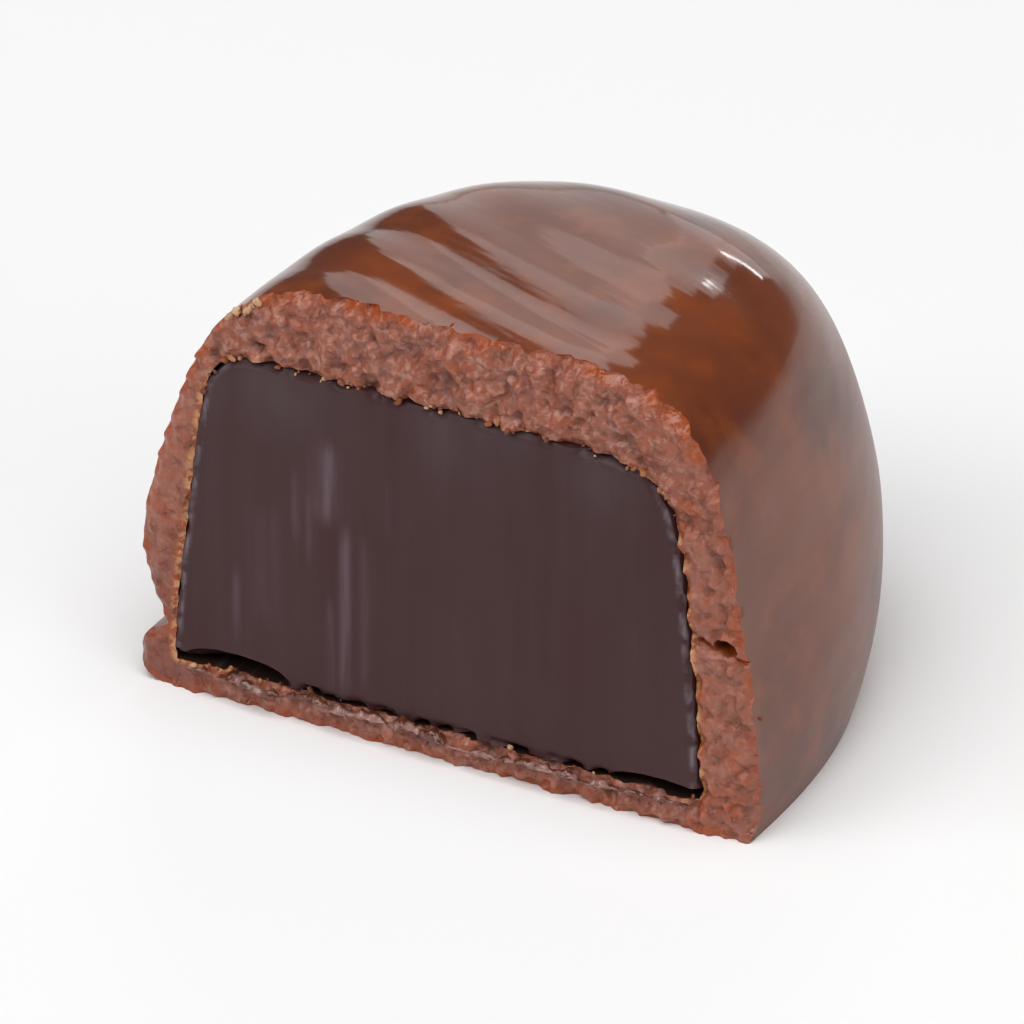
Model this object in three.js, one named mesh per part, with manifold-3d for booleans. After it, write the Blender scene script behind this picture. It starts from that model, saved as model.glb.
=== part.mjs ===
// Half of a chocolate-covered jelly candy, standing on its flat base with the cut facing -Y.
//
// The whole candy is a block of dark fruit jelly with sloping sides, coated all round in milk
// chocolate: thin on the flanks, thick on top, thinnest underneath. Its top carries low slanting
// ripples and its left flank ends in a rounded bead where the coating ran down and set. A blade
// has taken the front half off across the middle. It leaves the chocolate rough and crumbly,
// and the jelly smooth with faint upright streaks.
//
// Units are millimetres and +Z is up. The origin is under the middle of the half.

import * as THREE from "three";
import { ImprovedNoise } from "three/addons/math/ImprovedNoise.js";
import { mergeVertices } from "three/addons/utils/BufferGeometryUtils.js";
import Module from "manifold-3d";

// Driving dimensions of the candy.
const WIDTH = 24; // across its fattest part
const HEIGHT = 17; // base to top
const HALF_LENGTH = 19.3; // cut to the tip of the rounded end

// Thickness of the coating.
const TOP_COAT = 3.25;
const BASE_COAT = 0.95;
const END_COAT = 2.1;
const LEFT_COAT = 1.25; // at the foot of the jelly
const RIGHT_COAT = 2.25;

// The jelly has shrunk away from the chocolate, most of all from the floor of its pocket.
const SIDE_GAP = 0.1;
const FLOOR_GAP = 0.3;

// Ripples in the top, slanting across the candy.
const RIPPLE_HEIGHT = 0.055;
const RIPPLE_SPACING = 3.3;
const RIPPLE_SLANT = THREE.MathUtils.degToRad(17.5);
const TOP_SWELL = 0.1; // how much higher the top stands half way along the half
const LUMP_SHARE = 0.006; // slow unevenness of the coating, as a share of its width

// Roughness of the cut.
const CRUMB_SIZE = 1.1;
const CRUMB_DEPTH = 0.34;
const STREAK_WIDTH = 0.8;
const STREAK_DEPTH = 0.07;

// Grid steps of the meshes: round the block, up its side, and from its shoulder to mid top.
const COATING_GRID = { round: 132, side: 15, crown: 28 };
const JELLY_GRID = { round: 56, side: 9, crown: 12 };
const BLADE_STEP = 0.42;
const SLIVER = 0.004; // corners that the cuts leave closer than this become one
const RING_DRIFT = 7; // the rings close this far in front of the cut, where it takes them off
const BELLY_EASE = 0.15; // how gently a side begins to lean, as a share of its height

// Outlines of a block's sides. The belly is the widest point, at bellyHeight. Above it the side
// leans in by the share taper and turns into the top, the more squarely the higher square is.
// Below it the side tucks in, and a bead of set chocolate may stand out at the foot. The left
// and right flanks are those seen in the cut, and both blend into the end's outline.
const COATING = {
  top: HEIGHT,
  floor: 0,
  halfLength: HALF_LENGTH,
  planSquare: 2.5,
  right: { belly: WIDTH / 2 - 0.1, bellyHeight: 3, taper: 0.17, square: 6.2, tuck: 0.35, bead: 0 },
  end: { belly: WIDTH / 2, bellyHeight: 6.2, taper: 0.18, square: 4.8, tuck: 1.1, bead: 0 },
  left: { belly: WIDTH / 2 + 0.4, bellyHeight: 5.7, taper: 0.25, square: 5.2, tuck: 3, bead: 1.1 },
};
const JELLY = {
  top: HEIGHT - TOP_COAT,
  floor: BASE_COAT + FLOOR_GAP,
  halfLength: HALF_LENGTH - END_COAT,
  planSquare: 2.7,
  right: { belly: WIDTH / 2 - RIGHT_COAT - 0.2, bellyHeight: 1.5, taper: 0.1, square: 9, tuck: 0.1, bead: 0 },
  end: { belly: WIDTH / 2 - END_COAT, bellyHeight: 4, taper: 0.16, square: 6, tuck: 0.5, bead: 0 },
  left: { belly: WIDTH / 2 - LEFT_COAT + 0.2, bellyHeight: 1.5, taper: 0.125, square: 14, tuck: 0.1, bead: 0 },
};

const perlin = new ImprovedNoise();

// How far a side has leaned in when it has risen by this share from belly to top: upright at the
// belly and steady above, so that no crease shows there.
function leanAt(flank, rise) {
  const eased = Math.hypot(rise, BELLY_EASE) - BELLY_EASE;
  return 1 - (flank.taper * eased) / (Math.hypot(1, BELLY_EASE) - BELLY_EASE);
}

// Half-width of a flank at height z, up to its shoulder.
function flankReach(flank, block, z) {
  if (z >= flank.bellyHeight) {
    const rise = (z - flank.bellyHeight) / (block.top - flank.bellyHeight);
    const lean = leanAt(flank, rise);
    return flank.belly * lean * (1 - rise ** flank.square) ** (1 / flank.square);
  }
  const drop = (flank.bellyHeight - z) / (flank.bellyHeight - block.floor);
  const wall = flank.belly - flank.tuck * drop ** 2;
  if (flank.bead === 0) return wall;
  const beadCentre = flank.belly + 0.1 - flank.bead;
  const fromCentre = Math.min(Math.abs(z - flank.bead) / flank.bead, 1);
  return Math.max(wall, beadCentre + flank.bead * Math.sqrt(1 - fromCentre ** 2));
}

// A point of a side's outline, as [half-width, height]. The side proper runs from the base edge
// (climb 0) to the shoulder (climb 1), and the crown from the shoulder (spread 1) to the middle
// of the top (spread 0). They meet where the outline slopes at about 45 degrees.
function sidePoint(flank, block, climb) {
  const shoulder = 0.5 ** (1 / flank.square);
  const shoulderHeight = flank.bellyHeight + shoulder * (block.top - flank.bellyHeight);
  const z = block.floor + (shoulderHeight - block.floor) * climb ** 1.5;
  return [flankReach(flank, block, z), z];
}
function crownPoint(flank, block, spread) {
  const share = spread * 0.5 ** (1 / flank.square);
  const rise = (1 - share ** flank.square) ** (1 / flank.square);
  const z = flank.bellyHeight + rise * (block.top - flank.bellyHeight);
  return [flank.belly * share * leanAt(flank, rise), z];
}

// The whole block: rings from the middle of the floor, up the sides, to the middle of the top.
// Its plan is a superellipse, and the outlines blend into each other round it. It can be grown
// outwards, and its floor lowered, to make a loose pocket.
function blockGeometry(block, grid, grow = 0, drop = 0) {
  const rings = 1 + grid.side + grid.crown;
  const sheet = new THREE.PlaneGeometry(1, 1, grid.round, rings);
  const at = sheet.getAttribute("position");
  for (let i = 0; i < at.count; i++) {
    const angle = 2 * Math.PI * (at.getX(i) + 0.5);
    const ring = Math.round((at.getY(i) + 0.5) * rings);
    const [across, along] = [Math.cos(angle), Math.sin(angle)];
    const norm = (Math.abs(across) ** block.planSquare + Math.abs(along) ** block.planSquare) ** (1 / block.planSquare);
    const isPole = ring === 0 || ring === rings;
    const inward = Math.max(ring - 1 - grid.side, 0) / grid.crown;
    const spread = isPole ? 0 : Math.cos((inward * Math.PI) / 2) * 0.5 + (1 - inward) * 0.5;
    const outline = (side) => {
      if (ring === 0) return [0, block.floor];
      if (ring <= grid.side) return sidePoint(side, block, (ring - 1) / grid.side);
      return crownPoint(side, block, spread);
    };
    const [endReach, endHeight] = outline(block.end);
    const flank = across > 0 ? block.right : block.left;
    const [flankOut, flankHeight] = outline(flank);
    const reach = THREE.MathUtils.lerp(endReach, flankOut, across ** 2);
    const height = THREE.MathUtils.lerp(endHeight, flankHeight, across ** 2);
    const belly = THREE.MathUtils.lerp(block.end.belly, flank.belly, across ** 2);
    const out = isPole ? 0 : (reach + grow) / norm;
    const y = along * out * (block.halfLength / belly) - RING_DRIFT * (1 - spread) ** 2;
    at.setXYZ(i, across * out, y, ring <= 1 ? height - drop : height + grow);
  }
  return sheet;
}

// Low ripples that run across the top at a slant and fade out at the shoulders, over a slow
// swell along the half. Returns how far the surface at x, y, z is raised.
function topRelief(x, y, z) {
  const onTop = THREE.MathUtils.smoothstep(z, HEIGHT * 0.86, HEIGHT * 0.97);
  const wander = 0.12 * Math.sin(x / 2.9 + 0.6) + 0.12 * Math.sin(y / 3.7 - x / 9);
  const phase = (y * Math.cos(RIPPLE_SLANT) + x * Math.sin(RIPPLE_SLANT)) / RIPPLE_SPACING + 0.5 + wander;
  const strength = 0.8 + 0.3 * Math.sin(x / 3.3 + y / 2.6 + 1);
  const swell = TOP_SWELL * Math.sin(Math.PI * Math.min(Math.abs(y) / HALF_LENGTH, 1));
  return onTop * (swell + RIPPLE_HEIGHT * strength * Math.sin(2 * Math.PI * phase));
}

// Slow unevenness of the coating: how much wider or narrower it is at x, y, z.
const lumpiness = (x, y, z) => 1 + LUMP_SHARE * (Math.sin(x / 3.1 + y / 4.7 + 1.3) + Math.sin(y / 3.3 - z / 3.9));

// The whole candy's outer surface, with its unevenness and ripples.
function candyGeometry() {
  const candy = blockGeometry(COATING, COATING_GRID);
  const at = candy.getAttribute("position");
  for (let i = 0; i < at.count; i++) {
    const [x, y, z] = [at.getX(i), at.getY(i), at.getZ(i)];
    const lump = lumpiness(x, y, z);
    at.setXYZ(i, x * lump, y * lump, z + topRelief(x, y, z));
  }
  return candy;
}

// A blade that fills the space in front of the cut. Its back face stands at the depth that
// relief gives for each place x, z, measured behind the plane of the cut.
function bladeGeometry(step, relief) {
  const depth = HALF_LENGTH * 1.2;
  const [width, height] = [WIDTH * 1.2, HEIGHT * 1.3];
  const blade = new THREE.BoxGeometry(width, depth, height, Math.round(width / step), 1, Math.round(height / step));
  blade.translate(0, -depth / 2, HEIGHT / 2);
  const at = blade.getAttribute("position");
  for (let i = 0; i < at.count; i++) {
    if (at.getY(i) > -depth / 2) at.setY(i, relief(at.getX(i), at.getZ(i)));
  }
  return blade;
}
const tornRelief = (x, z) => {
  const coarse = perlin.noise(x / CRUMB_SIZE, 3.5, z / CRUMB_SIZE);
  const fine = perlin.noise((2.3 * x) / CRUMB_SIZE, 8.5, (2.3 * z) / CRUMB_SIZE);
  const brokenFoot = THREE.MathUtils.smoothstep(x, WIDTH * 0.45, WIDTH * 0.5) * (1 - THREE.MathUtils.smoothstep(z, 1.2, 3.4));
  return CRUMB_DEPTH * (0.5 + 0.5 * coarse + 0.3 * fine + brokenFoot);
};
const streakRelief = (x, z) => 0.2 + STREAK_DEPTH * perlin.noise(x / STREAK_WIDTH, 1.5, z / (12 * STREAK_WIDTH));

// Solids for the cuts and joins, and back to a geometry.
const wasm = await Module();
wasm.setup();
function solidOf(geometry, within = 1e-4) {
  const bare = new THREE.BufferGeometry().setAttribute("position", geometry.getAttribute("position"));
  bare.setIndex(geometry.getIndex());
  const merged = mergeVertices(bare, within);
  const corners = merged.index.array;
  const triangles = [];
  for (let i = 0; i < corners.length; i += 3) {
    const [a, b, c] = [corners[i], corners[i + 1], corners[i + 2]];
    if (a !== b && b !== c && c !== a) triangles.push(a, b, c);
  }
  const vertProperties = merged.attributes.position.array;
  return new wasm.Manifold(new wasm.Mesh({ numProp: 3, vertProperties, triVerts: new Uint32Array(triangles) }));
}
function geometryOf(solid) {
  const mesh = solid.getMesh();
  const geometry = new THREE.BufferGeometry();
  geometry.setAttribute("position", new THREE.BufferAttribute(mesh.vertProperties, 3));
  geometry.setIndex(new THREE.BufferAttribute(mesh.triVerts, 1));
  return geometry;
}

// A small hollow: an ellipsoid at [x, y, z] with radii [rx, ry, rz].
function hollow([x, y, z], [rx, ry, rz]) {
  const ball = new THREE.SphereGeometry(1, 12, 8);
  ball.scale(rx, ry, rz);
  ball.translate(x, y, z);
  return solidOf(ball);
}

// The coating: the candy less the jelly's pocket, cut off rough, with a chip out of the right
// flank's cut edge.
function coatingSolid() {
  const candy = solidOf(candyGeometry());
  const pocket = solidOf(blockGeometry(JELLY, JELLY_GRID, SIDE_GAP, FLOOR_GAP));
  const blade = solidOf(bladeGeometry(BLADE_STEP, tornRelief));
  const chip = hollow([WIDTH * 0.45, 0, HEIGHT * 0.44], [0.5, 0.6, 0.35]);
  return candy.subtract(pocket).subtract(blade).subtract(chip);
}

// The jelly: cut off clean, and drawn up off the pocket's floor at both lower corners.
function jellySolid() {
  const core = solidOf(blockGeometry(JELLY, JELLY_GRID));
  const blade = solidOf(bladeGeometry(2 * BLADE_STEP, streakRelief));
  const leftGap = hollow([-WIDTH * 0.36, 0, JELLY.floor], [2.4, 1.4, 0.5]);
  const rightGap = hollow([WIDTH * 0.33, 0, JELLY.floor], [2.6, 1.4, 0.5]);
  return core.subtract(blade).subtract(leftGap).subtract(rightGap);
}

function pieceMesh(name, solid, material) {
  const geometry = geometryOf(solidOf(geometryOf(solid), SLIVER));
  geometry.computeVertexNormals();
  const mesh = new THREE.Mesh(geometry, material);
  mesh.name = name;
  return mesh;
}

const chocolate = new THREE.MeshStandardMaterial({ color: 0x6b3b2c, roughness: 0.3, metalness: 0 });
const jelly = new THREE.MeshStandardMaterial({ color: 0x3a2426, roughness: 0.35, metalness: 0 });

const halfCandy = new THREE.Group();
halfCandy.name = "half_jelly_candy";
halfCandy.add(pieceMesh("chocolate_coating", coatingSolid(), chocolate));
halfCandy.add(pieceMesh("jelly_center", jellySolid(), jelly));

// The origin goes under the middle of what is left of the candy.
const extent = new THREE.Box3().setFromObject(halfCandy);
const middle = extent.getCenter(new THREE.Vector3());
halfCandy.position.set(-middle.x, -middle.y, -extent.min.z);

export default halfCandy;
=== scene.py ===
"""Half of a chocolate-covered jelly candy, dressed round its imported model.

Lengths in the classes are millimetres in the candy's own frame: x across it, y from the cut
into the half, z up from its base. The finished meshes are metres in the model's frame.
"""

from __future__ import annotations

import logging
import math
import random
from dataclasses import dataclass, field
from enum import Enum
from typing import Any, Callable, Union

import bmesh
import bpy
from mathutils import Matrix, Quaternion, Vector, kdtree, noise

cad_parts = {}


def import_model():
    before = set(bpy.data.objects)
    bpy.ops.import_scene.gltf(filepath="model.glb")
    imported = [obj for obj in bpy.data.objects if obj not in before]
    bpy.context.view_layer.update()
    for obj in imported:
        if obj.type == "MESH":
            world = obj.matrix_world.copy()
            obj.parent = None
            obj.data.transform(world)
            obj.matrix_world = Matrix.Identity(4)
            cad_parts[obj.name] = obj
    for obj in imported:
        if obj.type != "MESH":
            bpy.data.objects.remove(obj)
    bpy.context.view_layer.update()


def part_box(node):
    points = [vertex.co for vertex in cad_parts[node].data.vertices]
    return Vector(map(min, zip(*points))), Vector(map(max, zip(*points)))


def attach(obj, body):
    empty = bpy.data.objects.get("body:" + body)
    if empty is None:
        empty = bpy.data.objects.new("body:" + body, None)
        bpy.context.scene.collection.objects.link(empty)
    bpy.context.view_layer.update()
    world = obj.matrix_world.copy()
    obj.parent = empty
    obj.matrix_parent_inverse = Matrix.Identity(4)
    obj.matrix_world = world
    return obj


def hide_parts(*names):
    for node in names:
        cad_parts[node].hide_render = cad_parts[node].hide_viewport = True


LOG = logging.getLogger("jelly_candy")
MM = 0.001
WIDTH = 24.0
HEIGHT = 17.0
BODY = "root"

Colour = tuple[float, float, float]
Triple = tuple[float, float, float]
Pair = tuple[float, float]


class Slot(Enum):
    """Material slots of the record."""

    CHOCOLATE = "milk_chocolate"
    JELLY = "dark_jelly"


def smooth_step(value: float, low: float, high: float) -> float:
    """Eases from 0 at low to 1 at high.

    Args:
        value: Where to read the curve.
        low: Where it leaves 0.
        high: Where it reaches 1.

    Returns:
        A number from 0 to 1.
    """
    share = min(max((value - low) / (high - low), 0.0), 1.0)
    return share * share * (3.0 - 2.0 * share)


def mix(first: float, second: float, share: float) -> float:
    """Returns the number that lies between first and second by this share."""
    return first + (second - first) * share


# Shader graphs


class Expr:
    """A shader value that Python arithmetic can use; each operator adds a Math node."""

    def __init__(self, graph: "Graph", socket: bpy.types.NodeSocket) -> None:
        """Wraps a socket of a graph."""
        self.graph = graph
        self.socket = socket

    def maths(self, operation: str, *values: "Number") -> "Expr":
        """Adds a Math node.

        Args:
            operation: The node's operation.
            values: Its inputs, in order.

        Returns:
            The node's result.
        """
        inputs = dict(enumerate(values))
        return self.graph.node("ShaderNodeMath", {"operation": operation}, inputs)

    def __add__(self, other: "Number") -> "Expr":
        """Returns self + other."""
        return self.maths("ADD", self, other)

    __radd__ = __add__

    def __sub__(self, other: "Number") -> "Expr":
        """Returns self - other."""
        return self.maths("SUBTRACT", self, other)

    def __rsub__(self, other: "Number") -> "Expr":
        """Returns other - self."""
        return self.maths("SUBTRACT", other, self)

    def __mul__(self, other: "Number") -> "Expr":
        """Returns self * other."""
        return self.maths("MULTIPLY", self, other)

    __rmul__ = __mul__

    def ramp(self, low: float, high: float) -> "Expr":
        """Returns 0 below low and 1 above high, with a straight slope between them."""
        return self.graph.node(
            "ShaderNodeMapRange",
            {"clamp": True},
            {"Value": self, "From Min": low, "From Max": high},
        )


Number = Union[float, Expr]


class Graph:
    """One material's node tree."""

    def __init__(self, name: str) -> None:
        """Makes an empty material with this name."""
        self.material = bpy.data.materials.new(name)
        self.material.use_nodes = True
        self.tree = self.material.node_tree
        self.tree.nodes.clear()
        position = self.node("ShaderNodeTexCoord", output="Object")
        self.place = self.node(
            "ShaderNodeMapping", inputs={"Vector": position, "Scale": (1 / MM,) * 3}
        )

    def node(
        self,
        kind: str,
        settings: dict[str, Any] | None = None,
        inputs: dict[str | int, Any] | None = None,
        output: str | int = 0,
    ) -> Expr:
        """Adds a node.

        Args:
            kind: The node's type.
            settings: Its own properties, set first.
            inputs: Values or expressions for its sockets, by name or number.
            output: The socket that the result reads.

        Returns:
            That output.
        """
        made = self.tree.nodes.new(kind)
        for name, value in (settings or {}).items():
            setattr(made, name, value)
        for name, value in (inputs or {}).items():
            if isinstance(value, Expr):
                self.tree.links.new(value.socket, made.inputs[name])
            else:
                made.inputs[name].default_value = value
        return Expr(self, made.outputs[output])

    def cloud(
        self,
        per_mm: float,
        detail: float = 2.0,
        stretch: Triple = (1, 1, 1),
        place: Expr | None = None,
    ) -> Expr:
        """Adds a noise pattern.

        Args:
            per_mm: How many times it changes in a millimetre.
            detail: How many finer octaves it has.
            stretch: Its scale along x, y and z.
            place: Where it is read, if not straight from the position.

        Returns:
            The noise, about 0.5 on average.
        """
        place = place or self.place
        if stretch != (1, 1, 1):
            place = self.node("ShaderNodeMapping", inputs={"Vector": place, "Scale": stretch})
        inputs = {"Vector": place, "Scale": per_mm, "Detail": detail}
        return self.node("ShaderNodeTexNoise", inputs=inputs)

    def attribute(self, name: str) -> Expr:
        """Returns the piece's own attribute with this name."""
        return self.node("ShaderNodeAttribute", {"attribute_name": name}, output="Fac")

    def axis(self, letter: str) -> Expr:
        """Returns the coordinate X, Y or Z in the model's frame, in mm."""
        return self.node("ShaderNodeSeparateXYZ", inputs={"Vector": self.place}, output=letter)

    def blend(self, share: Number, first: Colour | Expr, second: Colour | Expr) -> Expr:
        """Mixes two colours.

        Args:
            share: 0 for the first, 1 for the second.
            first: A linear colour or an expression.
            second: The same.

        Returns:
            The mixed colour.
        """
        inputs: dict[str | int, Any] = {0: share}
        for number, colour in ((6, first), (7, second)):
            inputs[number] = colour if isinstance(colour, Expr) else (*colour, 1.0)
        return self.node("ShaderNodeMix", {"data_type": "RGBA"}, inputs, output=2)

    def bump(self, height: Expr, depth_mm: float) -> Expr:
        """Returns a normal bent by a height pattern whose full range is depth_mm deep."""
        inputs = {"Height": height, "Distance": depth_mm * MM, "Strength": 1.0}
        return self.node("ShaderNodeBump", inputs=inputs)

    def finish(self, **inputs: Any) -> bpy.types.Material:
        """Ends the tree in a Principled shader.

        Args:
            inputs: Values for its sockets, with underscores for the spaces in their names.

        Returns:
            The material.
        """
        named = {name.replace("_", " "): value for name, value in inputs.items()}
        shader = self.node("ShaderNodeBsdfPrincipled", inputs=named)
        end = self.tree.nodes.new("ShaderNodeOutputMaterial")
        self.tree.links.new(shader.socket, end.inputs["Surface"])
        return self.material


# Finishes


@dataclass(frozen=True)
class GlossyChocolate:
    """The outside of the coating: glossy with drawn streaks on top, smudged and duller below."""

    colour: Colour = (0.188, 0.046, 0.0165)
    deep: Colour = (0.120, 0.029, 0.0120)
    amber: Colour = (0.255, 0.060, 0.0130)
    amber_share: float = 0.6
    roughness: float = 0.12
    patch_dullness: float = 0.08
    flank_dullness: float = 0.22
    flank_heights: Pair = (12.0, 16.0)
    top_heights: Pair = (14.6, 16.4)
    streak_slant: float = math.radians(-19.0)
    streak_depth: float = 0.022
    streak_stretch: Triple = (0.14, 1.0, 0.3)
    smudge_depth: float = 0.13
    smudge_stretch: Triple = (0.6, 0.42, 1.0)
    smudge_loss_on_top: float = 0.75

    def material(self) -> bpy.types.Material:
        """Returns the finish as a material."""
        graph = Graph("glossy_chocolate")
        patches = graph.cloud(0.22, 3.0)
        smudges = graph.cloud(0.36, 2.0, self.smudge_stretch)
        along_streaks = graph.node(
            "ShaderNodeMapping",
            inputs={"Vector": graph.place, "Rotation": (0.0, 0.0, -self.streak_slant)},
        )
        streaks = graph.cloud(1.1, 2.0, self.streak_stretch, along_streaks)
        on_top = graph.axis("Z").ramp(*self.top_heights)
        flank = 1.0 - graph.axis("Z").ramp(*self.flank_heights)
        calm = 1.0 - on_top * self.smudge_loss_on_top
        height = streaks * on_top * self.streak_depth + smudges * calm * self.smudge_depth
        colour = graph.blend(patches.ramp(0.38, 0.66), self.colour, self.deep)
        amber = graph.cloud(0.5, 3.0).ramp(0.5, 0.68) * self.amber_share
        dullness = patches * self.patch_dullness + flank * self.flank_dullness
        return graph.finish(
            Base_Color=graph.blend(amber, colour, self.amber),
            Roughness=dullness + (self.roughness - 0.06),
            Normal=graph.bump(height, 1.0),
            IOR=1.5,
            Subsurface_Weight=0.08,
            Subsurface_Radius=(1.0, 0.35, 0.2),
            Subsurface_Scale=MM,
        )


@dataclass(frozen=True)
class TornChocolate:
    """The cut through the coating: crumbly and paler than the outside, smeared at its edges, with
    shade painted into its hollows and between its crumbs.
    """

    colour: Colour = (0.290, 0.088, 0.050)
    # painted shade colour for the deepest hollows of the cut
    pit_shade: Colour = (0.055, 0.011, 0.004)
    dark: Colour = (0.130, 0.022, 0.008)
    pale: Colour = (0.460, 0.220, 0.165)
    orange: Colour = (0.330, 0.062, 0.010)
    cream: Colour = (0.56, 0.280, 0.120)
    roughness: float = 0.34
    right_wall: Pair = (8.8, 9.8)
    left_wall: Pair = (-9.8, -8.6)
    foot_heights: Pair = (2.5, 7.0)
    seam_width: float = 0.12
    relief_depth: float = 0.07
    seam_depth: float = 0.02

    def seams(self, graph: Graph) -> Expr:
        """Returns 1 along the seams between crumbs and 0 inside them."""
        wander = graph.node(
            "ShaderNodeTexNoise", inputs={"Vector": graph.place, "Scale": 1.4}, output="Color"
        )
        spot = graph.node("ShaderNodeVectorMath", {"operation": "ADD"}, {0: graph.place, 1: wander})
        gap = graph.node(
            "ShaderNodeTexVoronoi",
            {"feature": "DISTANCE_TO_EDGE"},
            {"Vector": spot, "Scale": 1.5},
            output="Distance",
        )
        return 1.0 - gap.ramp(0.0, self.seam_width)

    def material(self) -> bpy.types.Material:
        """Returns the finish as a material."""
        graph = Graph("torn_chocolate")
        grain = graph.cloud(2.0, 3.0)
        speck = graph.cloud(3.6, 2.0)
        patch = graph.cloud(0.55, 3.0)
        # depth: how far behind the cut's plane, which the finish paints as shade
        depth, smear = graph.attribute("pit_shade"), graph.attribute("smear")
        right_wall = graph.axis("X").ramp(*self.right_wall)
        left_wall = 1.0 - graph.axis("X").ramp(*self.left_wall)
        left_foot = left_wall * (1.0 - graph.axis("Z").ramp(*self.foot_heights))
        outer = graph.attribute("outer_rim") * patch.ramp(0.38, 0.58)
        seams = self.seams(graph) * grain.ramp(0.44, 0.58)
        warm = patch.ramp(0.44, 0.62) * (0.4 + right_wall * 0.4)
        light = speck.ramp(0.5, 0.64) * (0.65 - right_wall * 0.4 - left_wall * 0.35)
        edge = graph.attribute("inner_rim")
        layers = (
            (warm, self.orange),
            (light, self.pale),
            (grain.ramp(0.54, 0.66) * 0.4, self.dark),
            # painted shade: the seams between crumbs are darkened as well as sunk by the bump
            (seams * 0.6, self.dark),
            (left_foot * 0.55, self.dark),
            # partly the chocolate's own orange drips, partly painted light glowing through the thin
            # outer edge
            (outer * 0.85, self.orange),
            # painted shade: the cut darkens the deeper it lies behind its plane
            (depth.ramp(0.5, 0.95) * 0.9, self.pit_shade),
            # partly orange crumbs, partly painted light glowing through the thin edge beside the
            # jelly
            (edge * 0.85, self.orange),
            (edge * speck.ramp(0.46, 0.54) * 0.9, self.cream),
            (graph.attribute("crack") * 0.8, self.orange),
        )
        colour: Colour | Expr = self.colour
        for share, shade in layers:
            colour = graph.blend(share, colour, shade)
        relief = graph.cloud(4.0, 3.0) * self.relief_depth - seams * self.seam_depth
        return graph.finish(
            Base_Color=colour,
            Roughness=(grain * 0.2 + (self.roughness - 0.1)) * (1.0 - smear * 0.5),
            Normal=graph.bump(relief, 1.0),
            IOR=1.5,
            Subsurface_Weight=0.12,
            Subsurface_Radius=(1.0, 0.35, 0.2),
            Subsurface_Scale=0.5 * MM,
        )


@dataclass(frozen=True)
class CrumbChocolate:
    """Crumbs torn off by the blade: dark, orange-brown, or pale with cocoa butter."""

    brown: Colour = (0.090, 0.026, 0.012)
    orange: Colour = (0.320, 0.085, 0.022)
    cream: Colour = (0.560, 0.330, 0.180)
    roughness: float = 0.45

    def material(self) -> bpy.types.Material:
        """Returns the finish as a material."""
        graph = Graph("crumb_chocolate")
        tone = graph.attribute("tone")
        grain = graph.cloud(6.0)
        colour = graph.blend(tone.ramp(0.0, 0.5), self.brown, self.orange)
        return graph.finish(
            Base_Color=graph.blend(tone.ramp(0.5, 1.0), colour, self.cream),
            Roughness=grain * 0.2 + (self.roughness - 0.1),
            Normal=graph.bump(grain, 0.04),
        )


@dataclass(frozen=True)
class SmearedChocolate:
    """Chocolate that the knife dragged into a thin wet-looking lip."""

    colour: Colour = (0.110, 0.030, 0.015)
    pale: Colour = (0.320, 0.165, 0.140)
    roughness: float = 0.12
    wrinkle_depth: float = 0.16

    def material(self) -> bpy.types.Material:
        """Returns the finish as a material."""
        graph = Graph("smeared_chocolate")
        grain = graph.cloud(1.8, 3.0)
        return graph.finish(
            Base_Color=graph.blend(grain.ramp(0.48, 0.6), self.colour, self.pale),
            Roughness=grain * 0.1 + (self.roughness - 0.05),
            Normal=graph.bump(graph.cloud(2.6), self.wrinkle_depth),
            IOR=1.55,
        )


@dataclass(frozen=True)
class ShadedPocketWall:
    """The inside of the coating's pocket, painted near-black as shade so that it shows as a dark line
    round the jelly.
    """

    colour: Colour = (0.034, 0.013, 0.009)
    shade: Colour = (0.018, 0.008, 0.006)
    roughness: float = 0.5

    def material(self) -> bpy.types.Material:
        """Returns the finish as a material."""
        graph = Graph("pocket_wall_shade")
        colour = graph.blend(graph.cloud(1.5), self.colour, self.shade)
        return graph.finish(Base_Color=colour, Roughness=self.roughness)


@dataclass(frozen=True)
class DarkJelly:
    """Dark fruit jelly: smooth, a little glossy, with faint upright knife streaks, a painted
    highlight near its side edges and a lighter, greyer top.
    """

    colour: Colour = (0.047, 0.0145, 0.0155)
    greyer_top: Colour = (0.064, 0.035, 0.037)
    streak: Colour = (0.125, 0.080, 0.098)
    # painted highlight colour: a pale bluish-grey line near the jelly's side edges
    edge: Colour = (0.160, 0.130, 0.150)
    roughness: float = 0.4
    line_depth: float = 0.013

    def material(self) -> bpy.types.Material:
        """Returns the finish as a material."""
        graph = Graph("dark_jelly")
        lines = graph.cloud(2.6, 2.0, (1.0, 1.0, 0.06))
        haze = graph.cloud(0.35, 2.0, (1.0, 1.0, 0.5))
        drawn = graph.attribute("streaks") * (0.35 + lines.ramp(0.42, 0.6) * 0.65)
        broken = graph.cloud(1.6).ramp(0.42, 0.6)
        # lighter and greyer towards the top, broken up by noise
        greyer_top = haze.ramp(0.35, 0.7) * graph.attribute("haze")
        colour = graph.blend(greyer_top, self.colour, self.greyer_top)
        colour = graph.blend(drawn, colour, self.streak)
        # painted highlight along the jelly's side edges
        colour = graph.blend(graph.attribute("edge") * broken, colour, self.edge)
        return graph.finish(
            Base_Color=colour,
            Roughness=self.roughness + haze * 0.1,
            Normal=graph.bump(lines, self.line_depth),
            IOR=1.33,
            Subsurface_Weight=0.1,
            Subsurface_Radius=(1.0, 0.4, 0.4),
            Subsurface_Scale=MM,
        )


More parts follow.
